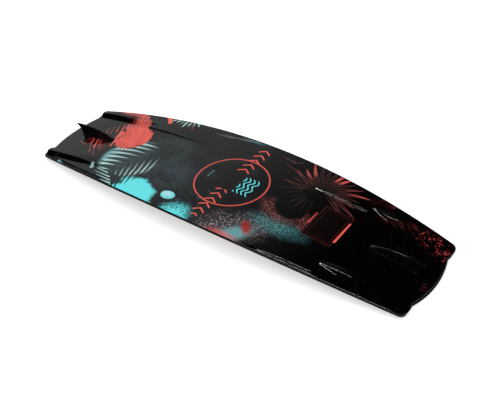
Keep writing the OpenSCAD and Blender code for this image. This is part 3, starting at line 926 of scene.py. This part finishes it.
def heel_fans(p):
    """Fan leaves at the heel edge in front of the ring, and a dim feather leaf beyond them."""
    dim_fan, dim_edge, _, luck = fan(p, 250, 98, 205, 150, 11, 40, 118, 4.0, bend=-12)
    p.lay((0.016, 0.012, 0.012), dim_fan * luck)
    p.lay((0.035, 0.018, 0.017), dim_edge * luck * 0.8)
    wide_fan, wide_edge, rho, luck = fan(p, 257, 102, 88, 226, 17, 10, 142, 6.4, bend=12, vary=0.25)
    p.lay((0.007, 0.0045, 0.0045), wide_fan)
    p.lay((0.17, 0.045, 0.04), wide_edge * rho.step(0.05, 0.5) * (0.25 + luck * 0.75) * p.fine.step(0.3, 0.55))
    bright = rho.step(0.42, 0.62) * p.y.step(128, 165) * luck.step(0.30, 0.55) * p.grain.step(0.34, 0.46)
    p.lay((0.62, 0.10, 0.085), wide_fan * bright)
    for x0, y0, x1, y1, w in ((112, 172, 138, 186, 3), (96, 156, 150, 142, 3), (70, 180, 118, 176, 4)):
        p.lay((0.16, 0.05, 0.045), stroke(p, x0, y0, x1, y1, w * 0.3, w, 2) * p.grain.step(0.35, 0.55) * 0.6)
    far_leaf, rho, luck = feather(p, 292, 98, 14, 280, (66, 74), (21, 24), (0.9, 0.8))
    ribs = far_leaf * (1 - rho.step(0.85, 1.0)) * rho.step(0.25, 0.6)
    p.lay((0.15, 0.026, 0.024), ribs * p.grain.step(0.46, 0.60) * luck.step(0.25, 0.9) * p.y.step(98, 125))


def front_flecks(p):
    """Red flecks towards the front tip."""
    flecks = p.noise(12, 3, 0.7, None, 1.4).step(0.56, 0.62)
    p.lay((0.40, 0.045, 0.045), flecks * blot(p, 606, 116, 52, 26, -20, 0.7))
    p.lay((0.40, 0.045, 0.045), flecks * blot(p, 652, 88, 20, 14, 0, 0.6))
    p.lay((0.07, 0.016, 0.016), flecks * blot(p, 655, -35, 14, 22, 0, 0.8))
    p.lay((0.022, 0.022, 0.024), p.noise(7, 2, 0.5).step(0.68, 0.73) * p.x.step(400, 520) * 0.7)


RING_X, RING_Y, RING_R = 13, -3, 112
CHEVRON_W, CHEVRON_PITCH, CHEVRON_SLOPE = 20.0, 27.0, 0.72
WAVE_X, WAVE_PITCH, WAVE_LENGTH = 62, 15, 34


def ring_and_marks(p):
    """A plain ring, plain chevrons across the board through it, plain waves and three dots in it."""
    dx, dy = p.x - RING_X, p.y - RING_Y
    r = (dx * dx + dy * dy).sqrt()
    zig = p.y + (p.x - RING_X).abs() * CHEVRON_SLOPE
    chevrons = ((zig / CHEVRON_PITCH).fract() - 0.5).abs()
    arms = (p.x - RING_X).abs().step(CHEVRON_W + 0.8, CHEVRON_W - 0.8)
    out = p.y.abs()
    reach = out.step(184, 182) * out.step(44, 46)
    marks = chevrons.step(0.115, 0.085) * arms * reach
    ring = (r - RING_R).abs().step(3.0, 1.8) * 0.75
    p.lay(CORAL, ring.max(marks) * (0.86 + 0.14 * p.grain.step(0.3, 0.5)))
    wave = (p.y * (2 * math.pi / WAVE_LENGTH)).sine() * 5
    column = (p.x + wave - WAVE_X) / WAVE_PITCH
    within = (p.x - 65).abs().step(26, 25) * p.y.abs().step(40, 38)
    p.lay(TEAL, (column.fract() - 0.5).abs().step(0.17, 0.12) * within)
    for k in range(3):
        p.lay((0.10, 0.22, 0.25), blot(p, -66, -14 + 12 * k, 3.4, 3.4, 0, 0.2))


def from_box(p, x0, y0, x1, y1):
    """How far a point lies outside a box's outline, negative inside it."""
    across = (p.x - (x0 + x1) / 2).abs() - (x1 - x0) / 2
    return across.max((p.y - (y0 + y1) / 2).abs() - (y1 - y0) / 2)


def panel(p):
    """A plain framed panel with a bright bar along two of its sides."""
    p.lay((0.0045, 0.0018, 0.0018), from_box(p, 298, -71, 390, 61).step(0.5, -0.5))
    p.lay((0.075, 0.014, 0.012), from_box(p, 300, -72, 389, 62).abs().step(1.5, 0.5))
    p.lay((0.055, 0.012, 0.011), from_box(p, 310, -64, 380, 54).abs().step(1.2, 0.2))
    p.lay((0.50, 0.07, 0.06), stroke(p, 294, -26, 293, 22, 2.6, 2.0))
    p.lay(CORAL, stroke(p, 391, -48, 390, 38, 3.4, 2.6))


def print_on_base():
    p = Paint("base_print")
    p.lay(BLACK)
    p.grain = p.noise(3.2, 3, 0.65)
    p.fine = p.noise(1.5, 2, 0.6)
    p.cloud = p.noise(60, 4, 0.6)
    p.wob = (p.cloud - 0.5) * 0.6
    for part in (clouds_and_light, teal_patch, coral_leaf, big_leaf, edge_marks, pebble_and_splash, spray_band,
                 heel_fans, front_flecks, ring_and_marks, panel):
        part(p)
    rough = 0.022 + p.noise(45, 3, 0.6) * 0.022 + p.noise(2.5, 2, 0.5, (0.08, 1, 1)).step(0.62, 0.8) * 0.05
    peel = p.noise(5, 2, 0.5) + p.noise(0.8, 1, 0.5) * 0.15
    return p.done(rough, peel, 0.007, Specular_IOR_Level=0.5, IOR=1.5)


# ------------------------ other materials

def print_on_deck():
    """Two dim leaves and two thin lines across each end, on black."""
    p = Paint("deck_print")
    p.lay((0.006, 0.006, 0.007))
    cloud = p.noise(70, 4, 0.6)
    grain = p.noise(2.2, 3, 0.6)
    p.lay((0.02, 0.024, 0.027), cloud.step(0.4, 0.7))
    for x, y, angle, colour in ((-40, 150, 215, (0.05, 0.20, 0.21)), (60, -150, 35, (0.30, 0.05, 0.045))):
        leaf, rho, _ = feather(p, x, y, angle, 250, (110, 110), (22, 22), (0.9, 0.9), bow=0.1)
        p.lay(colour, leaf * rho.step(0.05, 0.3) * 0.8)
    p.lay(CORAL, (p.x.abs() - 470).abs().step(3.0, 2.2) * p.y.abs().step(150, 140))
    p.lay((0.09, 0.40, 0.42), (p.x.abs() - 484).abs().step(1.8, 1.2) * p.y.abs().step(150, 140))
    rough = 0.16 + grain * 0.10 + cloud * 0.05
    return p.done(rough, p.noise(1.2, 2, 0.5), 0.03, Specular_IOR_Level=0.5)


def surface(name, base, other, size, gloss, relief_size, relief_height, metallic=0.0, wear=None):
    """A plain material with cloudy colour variation, uneven gloss (its two ends) and a fine relief; wear is
    the colour along worn edges."""
    p = Paint(name)
    p.lay(base)
    cloud = p.noise(size, 4, 0.6)
    p.lay(other, cloud.step(0.35, 0.7))
    fine = p.noise(relief_size, 3, 0.6)
    if wear is not None:
        geometry = p.tree.nodes.new("ShaderNodeNewGeometry")
        edge = S(p.tree, geometry.outputs["Pointiness"]).step(0.53, 0.62)
        p.lay(wear, edge * fine.step(0.4, 0.6) * 0.7)
    rough = gloss[0] + fine * (gloss[1] - gloss[0]) + cloud * 0.02
    return p.done(rough, fine, relief_height, Metallic=metallic)


def wood_blocks():
    p = Paint("block_wood")
    p.lay((0.34, 0.20, 0.09))
    grain = p.noise(3.0, 4, 0.65, (0.08, 1, 1), 0.8)
    p.lay((0.20, 0.10, 0.04), grain.step(0.42, 0.68))
    return p.done(0.5 + grain * 0.25, grain, 0.2)


WEAVE_PITCH = 1.6


def glass_laminate():
    """Woven glass in resin."""
    p = Paint("glass_laminate")
    p.lay((0.030, 0.034, 0.030))
    a = ((p.x * (1 / WEAVE_PITCH)).fract() - 0.5).abs()
    b = ((p.y * (1 / WEAVE_PITCH)).fract() - 0.5).abs()
    weave = a.max(b).step(0.2, 0.5)
    p.lay((0.075, 0.085, 0.075), weave)
    return p.done(0.18 + weave * 0.12, weave, 0.05, Specular_IOR_Level=0.5)


def grey(v):
    return (v, v, v)


MATERIALS = {
    "printed_base": print_on_base(),
    "deck_print": print_on_deck(),
    "glass_laminate": glass_laminate(),
    "core_foam": surface("core_foam", (0.80, 0.76, 0.62), (0.70, 0.65, 0.50), 12, (0.75, 0.95), 1.2, 0.4),
    "edge_black": surface("edge_black", (0.0045, 0.0045, 0.005), (0.010, 0.010, 0.011), 40, (0.07, 0.22), 2.0,
                          0.015, wear=(0.03, 0.03, 0.032)),
    "block_wood": wood_blocks(),
    "brass": surface("brass", (0.72, 0.48, 0.18), (0.55, 0.34, 0.12), 5, (0.18, 0.38), 0.5, 0.02, 1.0,
                     wear=(0.9, 0.7, 0.36)),
    "stainless": surface("stainless", (0.60, 0.60, 0.59), grey(0.48), 4, (0.16, 0.34), 0.4, 0.015, 1.0,
                         wear=grey(0.8)),
    "fin_black": surface("fin_black", (0.0020, 0.0020, 0.0022), (0.0045, 0.0045, 0.005), 25, (0.08, 0.20), 1.4,
                         0.015, wear=(0.012, 0.012, 0.0125)),
    "gasket_rubber": surface("gasket_rubber", grey(0.010), grey(0.018), 8, (0.55, 0.8), 0.6, 0.05),
    "sleeve_white": surface("sleeve_white", (0.78, 0.78, 0.75), (0.70, 0.70, 0.67), 6, (0.3, 0.5), 0.6, 0.02),
}

NODE_SLOT = {
    "base_laminate": "glass_laminate", "deck_laminate": "glass_laminate", "foam_core": "core_foam",
    "deck_skin": "deck_print", "base_skin": "printed_base",
    "fin_screw_sleeves": "sleeve_white", "fin_cup_washers": "stainless",
}
PREFIX_SLOT = (
    ("rail_", "printed_base"), ("sidewall_", "edge_black"), ("tip_band_", "edge_black"),
    ("insert_block_", "block_wood"), ("fin_block_", "block_wood"), ("binding_inserts_", "brass"),
    ("centre_fin_", "fin_black"), ("fin_nuts_", "brass"), ("fin_gasket_", "gasket_rubber"),
    ("fin_screw_", "stainless"),
)


def slot_of(node):
    if node in NODE_SLOT:
        return NODE_SLOT[node]
    return next(slot for prefix, slot in PREFIX_SLOT if node.startswith(prefix))


for node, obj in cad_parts.items():
    obj.data.materials.clear()
    obj.data.materials.append(MATERIALS[slot_of(node)])


def place(obj, body, slot, *nodes):
    """Puts a piece on its body, in its material slot, instead of the CAD nodes it stands for."""
    obj.data.materials.append(MATERIALS[slot])
    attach(obj, body)
    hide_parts(*nodes)


place(base_shell(), "board", "printed_base", "base_skin", "rail_front_toe", "rail_front_heel", "rail_rear_toe",
      "rail_rear_heel")

SHEET_GAP = 0.08
top_in, low_in = edge_inset(SKIN_T) + SHEET_GAP, edge_inset(SKIN_T + LAMINATE_T) + SHEET_GAP
laminate_top, laminate_low = SKIN_T + 0.02, SKIN_T + LAMINATE_T
place(plate("base_laminate_sheet", inset(top_in), inset(low_in), lambda x, y: base_z(x) - laminate_top + 0 * y,
            lambda x, y: base_z(x) - laminate_low + 0 * y), "board", "glass_laminate", "base_laminate")

INSERT_HOLE_R, WASHER_HOLE_R = 6.6, 8.1
STANCE_X, INSERT_PITCH, ROW_Y = 279.4, 25.4, 76.2
# where each fin's screws stand, from the middle of its foot
SCREW_AT = (0.0, 50.0)


def screw_hole_x(s):
    """Where a fin screw, square to the base under the fin, comes out of the deck."""
    head = FIN_X + s * math.cos(FIN_TILT)
    x = head
    for _ in range(8):
        drop = (float(base_z(FIN_X)) - s * math.sin(FIN_TILT)) - float(deck_z(x, 0))
        x = head - drop * math.tan(FIN_TILT)
    return x


holes = [(end * STANCE_X + k * INSERT_PITCH, row, INSERT_HOLE_R)
         for end in (1, -1) for k in range(-2, 3) for row in (-ROW_Y, ROW_Y)]
holes += [(end * screw_hole_x(s), 0.0, WASHER_HOLE_R) for end in (1, -1) for s in SCREW_AT]
deck_rim = inset(STRIP_W)
place(plate("deck_sheet", deck_rim, deck_rim, lambda x, y: deck_z(x, y) + SKIN_T, deck_z, holes, 14.0),
      "board", "deck_print", "deck_skin")

# outline indices where the strips part: the four corners at BAND_X
band_y = float(half_width(BAND_X))
split = [int(np.argmin(np.hypot(RIM[:, 0] - sx * BAND_X, RIM[:, 1] - sy * band_y)))
         for sx, sy in ((1, 1), (-1, 1), (-1, -1), (1, -1))]
for name, node, first, last in (("sidewall_strip_heel", "sidewall_heel", split[0], split[1]),
                                ("tip_strip_rear", "tip_band_rear", split[1], split[2]),
                                ("sidewall_strip_toe", "sidewall_toe", split[2], split[3]),
                                ("tip_strip_front", "tip_band_front", split[3], split[0] + len(RIM))):
    place(edge_strip(name, first, last), "board", "edge_black", node)

for end, side in (("front", 1), ("rear", -1)):
    place(fin_blade("fin_blade_" + end, side), "fin_" + end, "fin_black", "centre_fin_" + end)

# ------------------------ floor and light

bpy.ops.mesh.primitive_plane_add(size=30, location=(0, 0, 0))
floor = bpy.context.object
floor.name = "floor"
paint = Paint("floor")
paint.lay((0.93, 0.93, 0.93))
paint.lay((0.95, 0.95, 0.95), paint.noise(400, 2, 0.5).step(0.3, 0.7))
paint.bsdf.inputs["Emission Color"].default_value = (1, 1, 1, 1)
paint.done(0.85 + paint.noise(200, 2, 0.5) * 0.05, Emission_Strength=0.5)
floor.data.materials.append(paint.mat)
floor.visible_glossy = False


def area_light(name, at, to, wide, tall, power):
    data = bpy.data.lights.new(name, "AREA")
    data.shape = "RECTANGLE"
    data.size, data.size_y = wide, tall
    data.energy = power
    obj = bpy.data.objects.new(name, data)
    bpy.context.scene.collection.objects.link(obj)
    obj.location = at
    obj.rotation_mode = "QUATERNION"
    obj.rotation_quaternion = (Vector(to) - Vector(at)).to_track_quat("-Z", "Y")
    obj.visible_camera = False
    return obj


area_light("overhead_strip", (-0.42, 0.72, 2.6), (-0.42, 0.2, 0), 0.66, 0.12, 13)
fill = area_light("soft_fill", (0.7, -1.4, 3.2), (0, 0, 0), 4.5, 3.5, 62)
fill.visible_glossy = False

DIM, WALL, AMBIENT = 0.004, 0.42, 0.5

world = bpy.data.worlds.new("studio")
bpy.context.scene.world = world
world.use_nodes = True
tree = world.node_tree
tree.nodes.clear()
world_out = tree.nodes.new("ShaderNodeOutputWorld")
coord = tree.nodes.new("ShaderNodeTexCoord")
split_dir = tree.nodes.new("ShaderNodeSeparateXYZ")
tree.links.new(coord.outputs["Generated"], split_dir.inputs[0])
sky_x, sky_y, sky_z = (S(tree, o) for o in split_dir.outputs)
# what gloss mirrors: a pale wall behind and to the left, up to about forty degrees, and a dark ceiling
flat = (sky_x * sky_x + sky_y * sky_y).max(0.0001).sqrt()
wall = (-sky_x / flat).step(0.28, 0.66) * sky_z.step(0.82, 0.50) * sky_z.step(-0.06, 0.06)
wall = wall * sky_y.step(0.02, 0.34)
glow = DIM + wall * WALL
# matt surfaces get an even light instead, and the camera sees a pale backdrop
rays = tree.nodes.new("ShaderNodeLightPath")
diffuse = S(tree, rays.outputs["Is Diffuse Ray"])
glow = glow * (1 - diffuse) + diffuse * AMBIENT
lighting = tree.nodes.new("ShaderNodeBackground")
tree.links.new(glow.out, lighting.inputs["Strength"])
lighting.inputs["Color"].default_value = (1, 1, 1, 1)
backdrop = tree.nodes.new("ShaderNodeBackground")
backdrop.inputs["Color"].default_value = (0.95, 0.95, 0.95, 1)
backdrop.inputs["Strength"].default_value = 1.0
pick = tree.nodes.new("ShaderNodeMixShader")
tree.links.new(rays.outputs["Is Camera Ray"], pick.inputs[0])
tree.links.new(lighting.outputs[0], pick.inputs[1])
tree.links.new(backdrop.outputs[0], pick.inputs[2])
tree.links.new(pick.outputs[0], world_out.inputs[0])
bpy.context.scene.view_settings.view_transform = "Standard"
